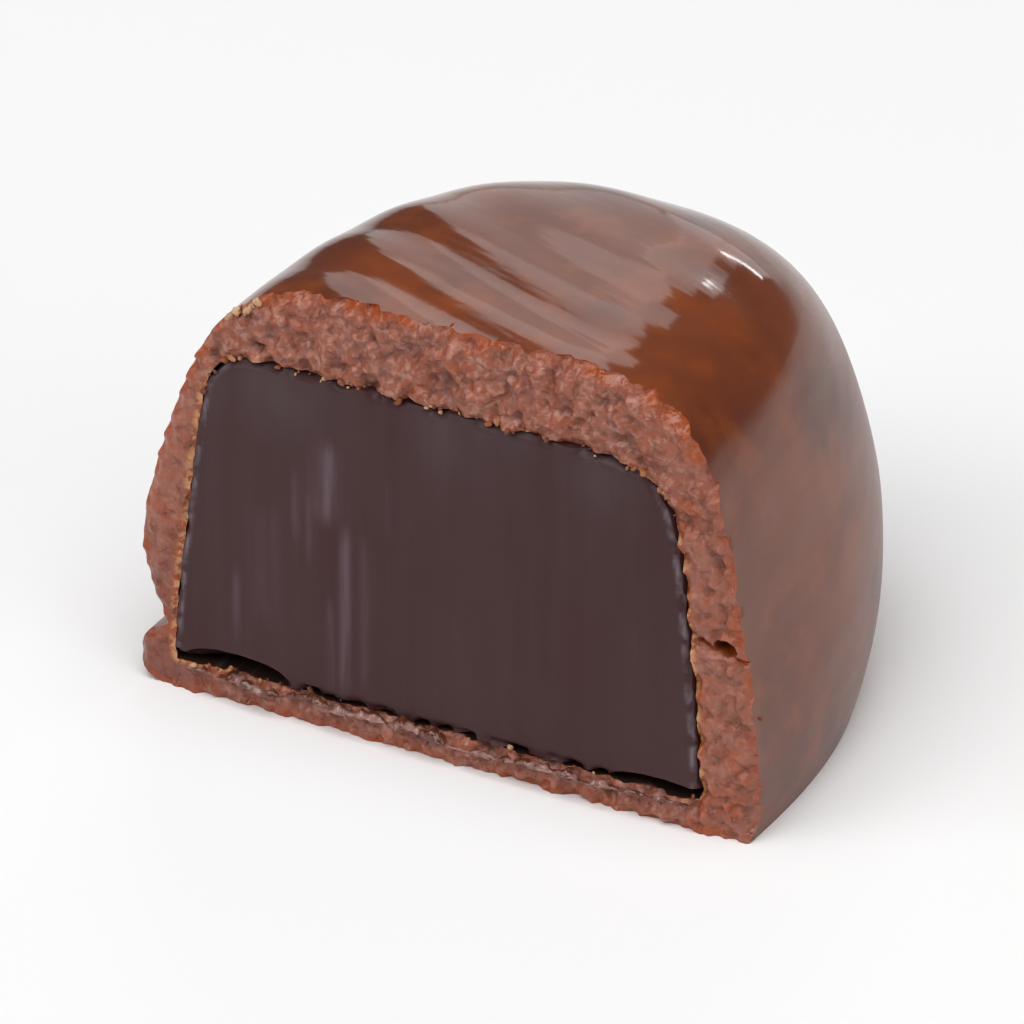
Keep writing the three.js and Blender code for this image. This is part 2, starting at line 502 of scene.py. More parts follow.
@dataclass(frozen=True)
class PaleFloor:
    """The matt white surface that the candy stands on, painted greyer far out as falloff of the
    light.
    """

    colour: Colour = (0.92, 0.92, 0.92)
    far_shade: Colour = (0.75, 0.75, 0.75)
    fade: Pair = (60.0, 180.0)

    def material(self) -> bpy.types.Material:
        """Returns the finish as a material."""
        graph = Graph("pale_floor")
        from_middle = graph.node(
            "ShaderNodeVectorMath", {"operation": "LENGTH"}, {0: graph.place}, output="Value"
        )
        # painted shade: the floor greys with distance from the middle, standing in for light falling
        # off
        colour = graph.blend(from_middle.ramp(*self.fade), self.colour, self.far_shade)
        return graph.finish(Base_Color=colour, Roughness=0.8)


# The candy's form


@dataclass(frozen=True)
class Flank:
    """Outline of one side of a block, in mm.

    The belly is the widest point. Above it the side leans in by the share taper and turns into
    the top, the more squarely the higher square is. Below it the side tucks in, and a bead of
    set chocolate may stand out at the foot.
    """

    belly: float
    belly_height: float
    taper: float
    square: float
    tuck: float
    bead: float = 0.0
    ease: float = 0.15

    def lean(self, rise: float) -> float:
        """Returns the width left when the side has risen by this share, upright at the belly."""
        eased = math.hypot(rise, self.ease) - self.ease
        return 1.0 - self.taper * eased / (math.hypot(1.0, self.ease) - self.ease)

    def reach(self, z: float, floor: float, top: float) -> float:
        """Finds the half-width at a height.

        Args:
            z: The height, up to the shoulder.
            floor: Height of the block's floor.
            top: Height of its top.

        Returns:
            The half-width.
        """
        if z >= self.belly_height:
            rise = (z - self.belly_height) / (top - self.belly_height)
            return self.belly * self.lean(rise) * (1.0 - rise**self.square) ** (1.0 / self.square)
        drop = (self.belly_height - z) / (self.belly_height - floor)
        wall = self.belly - self.tuck * drop**2
        if not self.bead:
            return wall
        from_centre = min(abs(z - self.bead) / self.bead, 1.0)
        centre = self.belly + 0.1 - self.bead
        return max(wall, centre + self.bead * math.sqrt(1.0 - from_centre**2))

    def side_point(self, climb: float, floor: float, top: float) -> tuple[float, float]:
        """Returns the half-width and height at a climb from 0, the foot, to 1, the shoulder."""
        shoulder = 0.5 ** (1.0 / self.square)
        shoulder_height = mix(self.belly_height, top, shoulder)
        z = mix(floor, shoulder_height, climb**1.5)
        return self.reach(z, floor, top), z

    def crown_point(self, spread: float, top: float) -> tuple[float, float]:
        """Returns the half-width and height at a spread from 1, the shoulder, to 0, mid top."""
        share = spread * 0.5 ** (1.0 / self.square)
        rise = (1.0 - share**self.square) ** (1.0 / self.square)
        return self.belly * share * self.lean(rise), mix(self.belly_height, top, rise)


@dataclass(frozen=True)
class Block:
    """A moulded block with a superellipse plan, whose sides' outlines blend round it."""

    top: float
    floor: float
    half_length: float
    plan_square: float
    right: Flank
    end: Flank
    left: Flank
    ring_drift: float = 7.0

    def point(self, angle: float, ring: float, grow: float = 0.0, drop: float = 0.0) -> Vector:
        """Finds a point of the surface.

        Args:
            angle: Direction round the block, 0 towards +x.
            ring: 0 to 1 up the side, then 1 to 2 from the shoulder to the middle of the top.
            grow: How far the surface is moved out.
            drop: How far the floor is lowered.

        Returns:
            The point in the candy's frame.
        """
        across, along = math.cos(angle), math.sin(angle)
        power = self.plan_square
        norm = (abs(across) ** power + abs(along) ** power) ** (1.0 / power)
        inward = max(ring - 1.0, 0.0)
        spread = 0.5 * (math.cos(inward * math.pi / 2) + 1.0 - inward)
        flank = self.right if across > 0 else self.left
        outlines = [
            side.side_point(ring, self.floor, self.top)
            if ring <= 1.0
            else side.crown_point(spread, self.top)
            for side in (self.end, flank)
        ]
        share = across**2
        reach, height = (mix(end, side, share) for end, side in zip(*outlines))
        is_pole = ring >= 2.0
        out = 0.0 if is_pole else (reach + grow) / norm
        stretch = self.half_length / mix(self.end.belly, flank.belly, share)
        y = along * out * stretch - self.ring_drift * (1.0 - spread) ** 2
        return Vector((across * out, y, height - drop if ring <= 0.0 else height + grow))


@dataclass(frozen=True)
class SpunMesh:
    """A closed mesh of a whole block: a chain of edges spun round and laid on the outline."""

    block: Block
    columns: int = 200
    side_rings: int = 36
    crown_rings: int = 30
    grow: float = 0.0
    drop: float = 0.0

    def build(self, relief: Callable[[Vector], Vector] | None = None) -> bmesh.types.BMesh:
        """Makes the mesh.

        Args:
            relief: Moves each point of the surface, where the surface isn't plain.

        Returns:
            The mesh in mm.
        """
        mesh = bmesh.new()
        for rings, base in ((self.side_rings, 0.0), (self.crown_rings, 1.0)):
            foot = bmesh.ops.create_vert(mesh, co=(1.0, 0.0, base))["vert"]
            risen = bmesh.ops.extrude_vert_indiv(mesh, verts=foot)
            bmesh.ops.translate(mesh, verts=risen["verts"], vec=(0.0, 0.0, 1.0))
            bmesh.ops.subdivide_edges(mesh, edges=risen["edges"], cuts=rings - 1)
        bmesh.ops.remove_doubles(mesh, verts=mesh.verts[:], dist=1e-6)
        chain = mesh.verts[:] + mesh.edges[:]
        bmesh.ops.spin(
            mesh, geom=chain, cent=(0, 0, 0), axis=(0, 0, 1),
            angle=math.tau, steps=self.columns, use_merge=True,
        )
        for vert in mesh.verts:
            ring = 2.0 if vert.co.z > 2.0 - 1e-4 else vert.co.z
            angle = math.atan2(vert.co.y, vert.co.x)
            point = self.block.point(angle, ring, self.grow, self.drop)
            vert.co = relief(point) if relief else point
        bmesh.ops.remove_doubles(mesh, verts=mesh.verts[:], dist=1e-5)
        open_edges = [edge for edge in mesh.edges if edge.is_boundary]
        bmesh.ops.holes_fill(mesh, edges=open_edges, sides=0)
        bmesh.ops.recalc_face_normals(mesh, faces=mesh.faces[:])
        return mesh


@dataclass(frozen=True)
class Blade:
    """A slab in front of the cut whose back face carries the cut's relief."""

    width: float
    height: float
    depth: float
    step: float

    def build(self, relief: Callable[[float, float], float]) -> bmesh.types.BMesh:
        """Makes the slab.

        Args:
            relief: Gives the depth behind the cut's plane for each x, z.

        Returns:
            The mesh in mm.
        """
        mesh = bmesh.new()
        lay = (
            Matrix.Translation((0.0, 0.0, self.height * 0.42))
            @ Matrix.Rotation(math.pi / 2, 4, "X")
            @ Matrix.Diagonal((self.width, self.height, 1.0, 1.0))
        )
        bmesh.ops.create_grid(
            mesh, x_segments=round(self.width / self.step),
            y_segments=round(self.height / self.step), size=0.5, matrix=lay,
        )
        front = bmesh.ops.extrude_face_region(mesh, geom=mesh.faces[:])["geom"]
        front_verts = [item for item in front if isinstance(item, bmesh.types.BMVert)]
        bmesh.ops.translate(mesh, verts=front_verts, vec=(0.0, -self.depth, 0.0))
        for vert in mesh.verts:
            if vert.co.y > -self.depth / 2:
                vert.co.y = relief(vert.co.x, vert.co.z)
        bmesh.ops.recalc_face_normals(mesh, faces=mesh.faces[:])
        return mesh


@dataclass(frozen=True)
class Hollow:
    """An ellipsoid that is taken out of a piece."""

    centre: Triple
    radii: Triple

    def build(self) -> bmesh.types.BMesh:
        """Returns its mesh in mm."""
        mesh = bmesh.new()
        stretch = Matrix.Translation(self.centre) @ Matrix.Diagonal((*self.radii, 1.0))
        bmesh.ops.create_uvsphere(mesh, u_segments=32, v_segments=20, radius=1.0, matrix=stretch)
        return mesh


def to_object(
    name: str, mesh: bmesh.types.BMesh, *materials: bpy.types.Material
) -> bpy.types.Object:
    """Puts a mesh into the scene.

    Args:
        name: The object's name.
        mesh: The mesh, which is freed.
        materials: Its materials.

    Returns:
        The object.
    """
    data = bpy.data.meshes.new(name)
    mesh.to_mesh(data)
    mesh.free()
    for material in materials:
        data.materials.append(material)
    made = bpy.data.objects.new(name, data)
    bpy.context.scene.collection.objects.link(made)
    return made


def carve(body: bpy.types.Object, cutters: list[bpy.types.Object]) -> None:
    """Takes the cutters out of a body and removes them; cut faces keep their cutter's material.

    Args:
        body: The object that is cut.
        cutters: Closed meshes.
    """
    for cutter in cutters:
        modifier = body.modifiers.new(cutter.name, "BOOLEAN")
        modifier.operation = "DIFFERENCE"
        modifier.solver = "MANIFOLD"
        modifier.material_mode = "TRANSFER"
        modifier.object = cutter
    depsgraph = bpy.context.evaluated_depsgraph_get()
    carved = bpy.data.meshes.new_from_object(body.evaluated_get(depsgraph))
    body.modifiers.clear()
    body.data = carved
    for cutter in cutters:
        bpy.data.objects.remove(cutter)


def add_marks(data: bpy.types.Mesh, *names: str) -> dict[str, Any]:
    """Adds attributes, one number per vertex, that a finish reads.

    Args:
        data: The mesh.
        names: The attributes' names.

    Returns:
        Their values by name.
    """
    for name in names:
        data.attributes.new(name, "FLOAT", "POINT")
    return {name: data.attributes[name].data for name in names}


# The sub-assemblies


@dataclass
class TornCut:
    """The rough cut through the coating: its depth behind the cut's plane and what shows on it."""

    shell: Block
    pocket: Block
    side_gap: float
    outline_steps: int = 400
    mean_depth: float = 0.24
    least_depth: float = 0.02
    lump_depth: float = 0.22
    crumb_depth: float = 0.40
    grain_depth: float = 0.06
    left_coarseness: float = 0.45
    right_coarseness: float = 0.75
    base_coarseness: float = 0.7
    top_heights: Pair = (11.5, 13.5)
    base_heights: Pair = (1.2, 2.4)
    lobe: Pair = (8.4, 14.6)
    lobe_radius: float = 1.1
    bead: Pair = (-11.7, 1.2)
    bead_radius: float = 1.2
    crack_start: Pair = (10.55, 7.2)
    crack_from: Pair = (9.3, 9.6)
    crack_width: float = 0.1
    crack_depth: float = 0.3
    foot_across: Pair = (WIDTH * 0.45, WIDTH * 0.5)
    foot_heights: Pair = (1.2, 3.4)
    foot_depth: float = 0.34
    outer_loss: float = 0.30
    outer_band: float = 0.5
    inner_loss: float = 0.14
    inner_band: float = 0.3
    resting_heights: Pair = (0.3, 0.9)
    deep_pit: float = 0.64
    trees: dict[str, kdtree.KDTree] = field(default_factory=dict)

    def trace(self) -> None:
        """Keeps the cut's outer and inner outlines, to measure how far a point is from them."""
        steps = self.outline_steps
        outlines = (("outer", self.shell, 0.0), ("inner", self.pocket, self.side_gap))
        for name, block, grow in outlines:
            tree = kdtree.KDTree(5 * steps)
            for index in range(2 * steps):
                ring = min(index / steps, 1.99)
                for side, angle in enumerate((0.0, math.pi)):
                    point = block.point(angle, ring, grow)
                    tree.insert((point.x, 0.0, point.z), 2 * index + side)
            foot = [block.point(angle, 0.0, grow) for angle in (0.0, math.pi)]
            for index in range(steps):
                x = mix(foot[0].x, foot[1].x, index / steps)
                tree.insert((x, 0.0, foot[0].z), 4 * steps + index)
            tree.balance()
            self.trees[name] = tree

    def distance(self, name: str, x: float, z: float) -> float:
        """Returns how far x, z is from the outline with this name."""
        return self.trees[name].find((x, 0.0, z))[2]

    def crack(self, x: float, z: float) -> float:
        """Returns how near x, z is to the crack in the right wall, from 0 to 1 on it."""
        line = self.crack_start[1] - 0.2 * (x - self.crack_start[0]) + 0.06 * math.sin(x * 6.0)
        inside = smooth_step(x, *self.crack_from)
        return inside * math.exp(-(((z - line) / self.crack_width) ** 2))

    def coarseness(self, x: float, z: float) -> float:
        """Returns how rough the cut is at x, z: most on top, least on the lobe and the bead."""
        wall = self.right_coarseness if x > 0 else self.left_coarseness
        base = self.base_coarseness * (1.0 - smooth_step(z, *self.base_heights))
        strip = max(smooth_step(z, *self.top_heights), base)
        from_lobe = math.dist((x, z), self.lobe) / self.lobe_radius
        from_bead = math.dist((x, z), self.bead) / self.bead_radius
        smooth = 0.85 * math.exp(-(from_lobe**2)) + 0.8 * math.exp(-(from_bead**2))
        return mix(wall, 1.0, strip) * (1.0 - smooth)

    def depth(self, x: float, z: float) -> float:
        """Returns the depth of the rough cut behind its plane at x, z."""
        spot = Vector((x, 3.5, z))
        outer, inner = self.distance("outer", x, z), self.distance("inner", x, z)
        if outer > 2.0 and inner > 2.0:
            return self.mean_depth
        lumps = noise.noise(spot / 0.9) + 0.5 * noise.noise(spot / 0.4)
        crumbs = noise.voronoi(spot / 0.8)[0][0] + 0.6 * noise.voronoi(spot / 0.36)[0][0] - 0.75
        grain = smooth_step(x, 8.8, 9.6) * noise.noise(Vector((x / 0.25, 7.5, z / 2.0)))
        rough = self.lump_depth * lumps + self.crumb_depth * crumbs
        depth = self.mean_depth + self.grain_depth * grain
        depth += self.coarseness(x, z) * rough
        foot = smooth_step(x, *self.foot_across) * (1.0 - smooth_step(z, *self.foot_heights))
        depth += self.foot_depth * foot + self.crack_depth * self.crack(x, z)
        ragged = 0.7 + 0.9 * noise.noise(spot / 0.55)
        lifted = 1.0 - 0.8 * (1.0 - smooth_step(z, *self.resting_heights))
        depth += self.outer_loss * ragged * (1.0 - smooth_step(outer, 0.0, self.outer_band)) * lifted
        depth += self.inner_loss * ragged * (1.0 - smooth_step(inner, 0.0, self.inner_band))
        return max(depth, self.least_depth)

    def marks(self, spot: Vector) -> dict[str, float]:
        """Works out the attributes that the cut's finish reads.

        Args:
            spot: A point of the cut.

        Returns:
            How deep in a pit, which the finish paints as shade, how near each rim and the crack, and
            how smeared it is.
        """
        x, y, z = spot
        inner, outer = self.distance("inner", x, z), self.distance("outer", x, z)
        on_wall = smooth_step(abs(x), 8.4, 9.2) * (1.0 - smooth_step(z, 12.0, 13.0))
        rim_width = 0.30 if x < 0 else 0.22
        near_rim = 1.0 - smooth_step(inner, 0.08, rim_width)
        edge = 1.0 - smooth_step(outer, 0.1, 0.55)
        glossy_heights = max(smooth_step(z, 14.0, 15.5), 1.0 - smooth_step(z, 1.8, 2.6))
        return {
            # painted shade: depth behind the cut's plane, eased off near the outer edge
            "pit_shade": y / self.deep_pit * (1.0 - 0.7 * edge),
            "inner_rim": near_rim * (0.12 + 0.88 * on_wall),
            "outer_rim": edge,
            "crack": self.crack(x, z),
            "smear": edge * glossy_heights,
        }


@dataclass
class Coating:
    """The milk chocolate round the jelly, cut off rough at the front."""

    jelly: Block
    width: float = WIDTH
    height: float = HEIGHT
    half_length: float = 19.3
    side_gap: float = 0.05
    floor_gap: float = 0.1
    ripple_height: float = 0.055
    ripple_spacing: float = 3.3
    ripple_slant: float = math.radians(17.5)
    ripple_heights: Pair = (0.86, 0.97)
    top_swell: float = 0.1
    lump_share: float = 0.006
    blade_step: float = 0.075
    chip: Hollow = Hollow((10.55, 0.1, 7.45), (0.5, 1.0, 0.34))
    cut: TornCut | None = None
    piece: bpy.types.Object | None = None
    inner_rim: list[Vector] = field(default_factory=list)

    def block(self) -> Block:
        """Returns the outline of the whole candy."""
        half = self.width / 2
        return Block(
            top=self.height, floor=0.0, half_length=self.half_length, plan_square=2.5,
            right=Flank(half - 0.1, belly_height=3.0, taper=0.17, square=6.2, tuck=0.35),
            end=Flank(half, belly_height=6.2, taper=0.18, square=4.8, tuck=1.1),
            left=Flank(half + 0.4, belly_height=5.7, taper=0.25, square=5.2, tuck=3.0, bead=1.1),
        )

    def surface(self, point: Vector) -> Vector:
        """Adds the slow lumps and the slanting ripples of the top to a point."""
        x, y, z = point
        lump = 1.0 + self.lump_share * (
            math.sin(x / 3.1 + y / 4.7 + 1.3) + math.sin(y / 3.3 - z / 3.9)
        )
        low, high = (self.height * share for share in self.ripple_heights)
        on_top = smooth_step(z, low, high)
        wander = 0.12 * math.sin(x / 2.9 + 0.6) + 0.12 * math.sin(y / 3.7 - x / 9.0)
        across = y * math.cos(self.ripple_slant) + x * math.sin(self.ripple_slant)
        phase = across / self.ripple_spacing + 0.5 + wander
        strength = 0.8 + 0.3 * math.sin(x / 3.3 + y / 2.6 + 1.0)
        swell = self.top_swell * math.sin(math.pi * min(abs(y) / self.half_length, 1.0))
        ripple = self.ripple_height * strength * math.sin(math.tau * phase)
        return Vector((x * lump, y * lump, z + on_top * (swell + ripple)))

    def build(self, shell: bpy.types.Material, cut: bpy.types.Material) -> bpy.types.Object:
        """Makes the coating.

        Args:
            shell: Its outside finish.
            cut: The finish of its cut.

        Returns:
            The piece, in mm.
        """
        outline = self.block()
        self.cut = TornCut(outline, self.jelly, self.side_gap)
        self.cut.trace()
        outside = SpunMesh(outline, columns=300, side_rings=60, crown_rings=70)
        pocket = SpunMesh(self.jelly, grow=self.side_gap, drop=self.floor_gap)
        blade = Blade(self.width * 1.2, self.height * 1.3, self.half_length * 1.2, self.blade_step)
        # the pocket's walls are painted near-black as shade
        walls = ShadedPocketWall().material()
        self.piece = to_object("coating", outside.build(self.surface), shell)
        carve(
            self.piece,
            [
                to_object("pocket", pocket.build(), walls),
                to_object("blade", blade.build(self.cut.depth), cut),
                to_object("chip", self.chip.build(), cut),
            ],
        )
        self.mark_cut()
        return self.piece

    def mark_cut(self) -> None:
        """Writes the attributes that the cut's finish reads, and keeps the pocket's edge."""
        data = self.piece.data
        skins = [set() for _ in data.vertices]
        names = [material.name for material in data.materials]
        for polygon in data.polygons:
            for index in polygon.vertices:
                skins[index].add(names[polygon.material_index])
        self.inner_rim = [
            vert.co.copy()
            for vert, skin in zip(data.vertices, skins)
            if {"torn_chocolate", "pocket_wall_shade"} <= skin
        ]
        layers = add_marks(data, "pit_shade", "inner_rim", "outer_rim", "crack", "smear")
        for index, vert in enumerate(data.vertices):
            if "torn_chocolate" not in skins[index]:
                continue
            for name, value in self.cut.marks(vert.co).items():
                layers[name][index].value = value


@dataclass(frozen=True)
class KnifeMark:
    """A pale upright streak that the knife left on the jelly, in mm."""

    across: float
    width: float
    low: float
    high: float
    strength: float

    def at(self, x: float, z: float) -> float:
        """Returns how strong the streak is at x, z."""
        ends = smooth_step(z, self.low - 0.6, self.low + 0.6) * (
            1.0 - smooth_step(z, self.high - 0.6, self.high + 0.6)
        )
        return self.strength * ends * math.exp(-(((x - self.across) / self.width) ** 2))


@dataclass
class JellyCore:
    """The dark jelly, cut off clean and drawn up off the pocket's floor at its lower corners."""

    width: float = WIDTH
    height: float = HEIGHT
    top_thickness: float = 3.25
    floor: float = 1.25
    half_length: float = 17.2
    mean_depth: float = 0.2
    streak_depth: float = 0.05
    worn_depth: float = 0.5
    worn_band: Pair = (0.02, 0.32)
    blade_step: float = 0.12
    left_gap: Hollow = Hollow((-8.5, 0.0, 1.4), (2.1, 1.4, 0.6))
    right_gap: Hollow = Hollow((8.2, 0.0, 1.25), (2.2, 1.4, 0.5))
    knife_marks: tuple[KnifeMark, ...] = (
        KnifeMark(-4.9, 0.55, 8.4, 11.2, 0.8),
        KnifeMark(-6.15, 0.14, 7.4, 9.8, 0.55),
        KnifeMark(-5.6, 0.12, 6.6, 8.8, 0.3),
        KnifeMark(-4.2, 0.2, 1.6, 8.0, 0.75),
        KnifeMark(-3.45, 0.15, 2.2, 7.8, 0.65),
        KnifeMark(-4.8, 0.14, 1.4, 5.0, 0.4),
        KnifeMark(-2.5, 0.12, 8.4, 10.4, 0.3),
        KnifeMark(-8.5, 0.14, 2.6, 5.2, 0.45),
        KnifeMark(-7.3, 0.5, 3.5, 8.0, 0.22),
    )
    rim: kdtree.KDTree | None = None
    piece: bpy.types.Object | None = None

    def block(self) -> Block:
        """Returns the outline of the whole core."""
        half = self.width / 2
        return Block(
            top=self.height - self.top_thickness, floor=self.floor,
            half_length=self.half_length, plan_square=2.7,
            right=Flank(half - 2.45, belly_height=1.5, taper=0.1, square=9.0, tuck=0.1),
            end=Flank(half - 2.1, belly_height=4.0, taper=0.16, square=6.0, tuck=0.5),
            left=Flank(half - 1.05, belly_height=1.5, taper=0.125, square=14.0, tuck=0.1),
        )

    def depth(self, x: float, z: float) -> float:
        """Returns the depth of the clean cut behind its plane at x, z."""
        near = self.rim.find((x, 0.0, z))[2]
        ragged = 0.4 + 1.5 * noise.noise(Vector((x / 0.55, 4.5, z / 0.55)))
        level = 0.35 + 0.65 * max(smooth_step(z, 12.6, 13.2), 1.0 - smooth_step(z, 1.5, 1.9))
        worn = level * max(ragged, 0.05) * (1.0 - smooth_step(near, *self.worn_band))
        broad = noise.noise(Vector((x / 0.8, 1.5, z / 9.6)))
        fine = noise.noise(Vector((x / 0.25, 2.5, z / 6.0)))
        lines = broad + 0.3 * fine
        return self.mean_depth + self.streak_depth * lines + self.worn_depth * worn

    def build(self, finish: bpy.types.Material, rim: kdtree.KDTree) -> bpy.types.Object:
        """Makes the core.

        Args:
            finish: Its material.
            rim: The pocket's outline in the cut.

        Returns:
            The piece, in mm.
        """
        self.rim = rim
        self.piece = to_object("jelly", SpunMesh(self.block()).build(), finish)
        blade = Blade(self.width * 1.2, self.height * 1.3, 23.0, self.blade_step)
        carve(
            self.piece,
            [
                to_object("clean_blade", blade.build(self.depth), finish),
                to_object("left_gap", self.left_gap.build(), finish),
                to_object("right_gap", self.right_gap.build(), finish),
            ],
        )
        self.mark_cut()
        return self.piece

    def mark_cut(self) -> None:
        """Writes the attributes that the jelly's finish reads: knife marks, a lighter top and a
        painted highlight near the side edges.
        """
        data = self.piece.data
        layers = add_marks(data, "streaks", "haze", "edge")
        for index, vert in enumerate(data.vertices):
            x, y, z = vert.co
            near = self.rim.find((x, 0.0, z))[2]
            on_cut = 1.0 - smooth_step(y, 0.9, 1.2)
            on_side = smooth_step(abs(x), 7.5, 8.5) * smooth_step(z, 1.4, 2.0)
            streak = sum(mark.at(x, z) for mark in self.knife_marks)
            layers["streaks"][index].value = on_cut * min(streak, 1.0)
            # rises towards the top: how much lighter and greyer the jelly is there
            layers["haze"][index].value = 0.3 + 0.7 * smooth_step(z, 10.0, 13.0)
            # painted highlight: a thin line just inside the jelly's side edges
            pale = math.exp(-(((near - 0.2) / 0.08) ** 2))
            layers["edge"][index].value = on_cut * on_side * pale


@dataclass(frozen=True)
class Crumbs:
    """Loose crumbs stuck along the jelly's border, in one corner and on the right flank."""

    count: int = 80
    smallest: float = 0.045
    largest: float = 0.15
    seed: int = 11
    top_above: float = 12.0
    base_below: float = 1.5
    corner: Pair = (-8.3, 15.8)
    corner_reach: float = 0.6
    corner_count: int = 14
    corner_inset: Triple = (0.12, 0.2, -0.12)
    on_flank: Triple = (11.68, 0.82, 4.71)
    flank_tone: float = 0.35

    def build(
        self, border: list[Vector], outline: kdtree.KDTree, finish: bpy.types.Material
    ) -> bpy.types.Object:
        """Makes the crumbs as one piece.

        Args:
            border: Points along the pocket's edge in the cut.
            outline: The cut's outer outline.
            finish: Their material.

        Returns:
            The piece, in mm.
        """
        draw = random.Random(self.seed)
        mesh = bmesh.new()
        tone = mesh.verts.layers.float.new("tone")
        top = [spot for spot in border if spot.z > self.top_above]
        base = [spot for spot in border if spot.z < self.base_below]
        spots = draw.choices(top, k=self.count * 3 // 4) + draw.choices(base, k=self.count // 4)
        tones = [draw.random() for _ in spots]
        for _ in range(self.corner_count):
            along = draw.uniform(-self.corner_reach, self.corner_reach)
            edge = outline.find((self.corner[0] + along, 0.0, self.corner[1] + 0.8 * along))[0]
            spots.append(edge + Vector(self.corner_inset))
            tones.append(draw.uniform(0.75, 1.0))
        spots.append(Vector(self.on_flank))
        tones.append(self.flank_tone)
        for spot, value in zip(spots, tones):
            size = mix(self.smallest, self.largest, draw.random() ** 2)
            stretch = Matrix.Diagonal((draw.uniform(0.8, 1.6), 1.0, draw.uniform(0.6, 1.1), 1.0))
            turn = Matrix.Rotation(draw.uniform(0.0, math.tau), 4, "Y")
            shift = Vector((draw.gauss(0.0, 0.05), -0.2 * size, draw.gauss(0.0, 0.08)))
            lay = Matrix.Translation(spot + shift) @ turn @ stretch
            verts = bmesh.ops.create_icosphere(mesh, subdivisions=2, radius=size, matrix=lay)["verts"]
            for vert in verts:
                away = vert.co - spot
                vert.co += away * 0.5 * noise.noise(vert.co / 0.11)
                vert[tone] = value
        return to_object("crumbs", mesh, finish)


@dataclass(frozen=True)
class SmearedLip:
    """The thin wrinkled lip of chocolate that the knife dragged along the base strip."""

    left: float = -10.4
    right: float = 9.4
    height: float = 1.0
    radius: float = 0.17
    middle_depth: float = 0.04
    wave_lengths: Triple = (1.6, 0.55, 0.2)
    steps: int = 420
    sides: int = 14

    def build(self, finish: bpy.types.Material) -> bpy.types.Object:
        """Makes the lip.

        Args:
            finish: Its material.

        Returns:
            The piece, in mm.
        """
        mesh = bmesh.new()
        start = bmesh.ops.create_vert(mesh, co=(0.0, 0.0, 1.0))["vert"]
        drawn = bmesh.ops.extrude_vert_indiv(mesh, verts=start)
        bmesh.ops.translate(mesh, verts=drawn["verts"], vec=(1.0, 0.0, 0.0))
        bmesh.ops.subdivide_edges(mesh, edges=drawn["edges"], cuts=self.steps - 1)
        bmesh.ops.spin(
            mesh, geom=mesh.verts[:] + mesh.edges[:], cent=(0, 0, 0), axis=(1, 0, 0),
            angle=math.tau, steps=self.sides, use_merge=True,
        )
        for vert in mesh.verts:
            vert.co = self.wrinkle(*vert.co)
        bmesh.ops.remove_doubles(mesh, verts=mesh.verts[:], dist=1e-5)
        bmesh.ops.recalc_face_normals(mesh, faces=mesh.faces[:])
        return to_object("smeared_lip", mesh, finish)

    def wrinkle(self, share: float, across: float, up: float) -> Vector:
        """Finds a point of the lip.

        Args:
            share: How far along the lip it is, from 0 to 1.
            across: How far behind the lip's middle line, in radii.
            up: How far above it, in radii.

        Returns:
            The point in the candy's frame.
        """
        x = mix(self.left, self.right, share)
        slow, quick, fine = (
            noise.noise(Vector((x / length, 6.5, 0.0))) for length in self.wave_lengths
        )
        thin = max(math.sin(math.pi * share), 0.0) ** 0.3
        size = self.radius * thin * max(0.8 + 1.1 * quick + 0.5 * fine, 0.2)
        lumpy = 1.0 + 0.35 * noise.noise(Vector((x / 0.3, 2.0 * across, 2.0 * up)))
        z = self.height + 0.16 * slow + 0.12 * quick + 0.85 * up * size * lumpy
        y = self.middle_depth + 0.1 * slow + 0.1 * fine + 1.2 * across * size * lumpy
        return Vector((x, y, z))


@dataclass
class HalvedCandy:
    """The candy: its pieces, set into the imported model's frame."""

    seat: Vector = field(default_factory=Vector)
    crease: float = math.radians(50.0)

    def build(self) -> None:
        """Makes and seats every piece."""
        core = JellyCore()
        coating = Coating(core.block())
        shell = coating.build(GlossyChocolate().material(), TornChocolate().material())
        jelly = core.build(DarkJelly().material(), coating.cut.trees["inner"])
        crumbs = Crumbs().build(
            coating.inner_rim, coating.cut.trees["outer"], CrumbChocolate().material()
        )
        lip = SmearedLip().build(SmearedChocolate().material())
        self.seat = self.find_seat(shell)
        self.place(shell, Slot.CHOCOLATE, "chocolate_coating")
        self.place(jelly, Slot.JELLY, "jelly_center")
        self.place(crumbs, Slot.CHOCOLATE)
        self.place(lip, Slot.CHOCOLATE)

    def find_seat(self, shell: bpy.types.Object) -> Vector:
        """Finds where the candy's own origin lies in the model's frame.

        Args:
            shell: The coating, in mm in the candy's frame.

        Returns:
            The place in metres: the coating's sides and far end then lie on its solid's.
        """
        low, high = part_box("chocolate_coating")
        across = [vert.co.x for vert in shell.data.vertices]
        deepest = max(vert.co.y for vert in shell.data.vertices)
        middle = (min(across) + max(across)) / 2 * MM
        return Vector(((low.x + high.x) / 2 - middle, high.y - deepest * MM, low.z))

    def place(self, piece: bpy.types.Object, slot: Slot, *nodes: str) -> None:
        """Turns a piece from mm to metres, seats it and ties it to the frame.

        Args:
            piece: The finished piece.
            slot: The record's slot that it belongs to; not used.
            nodes: The solids that it stands for.
        """
        piece.data.transform(Matrix.Translation(self.seat) @ Matrix.Scale(MM, 4))
        piece.data.shade_smooth()
        piece.data.set_sharp_from_angle(angle=self.crease)
        if nodes:
            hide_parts(*nodes)
        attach(piece, BODY)
        LOG.info("%s: %d faces", piece.name, len(piece.data.polygons))


# The stage


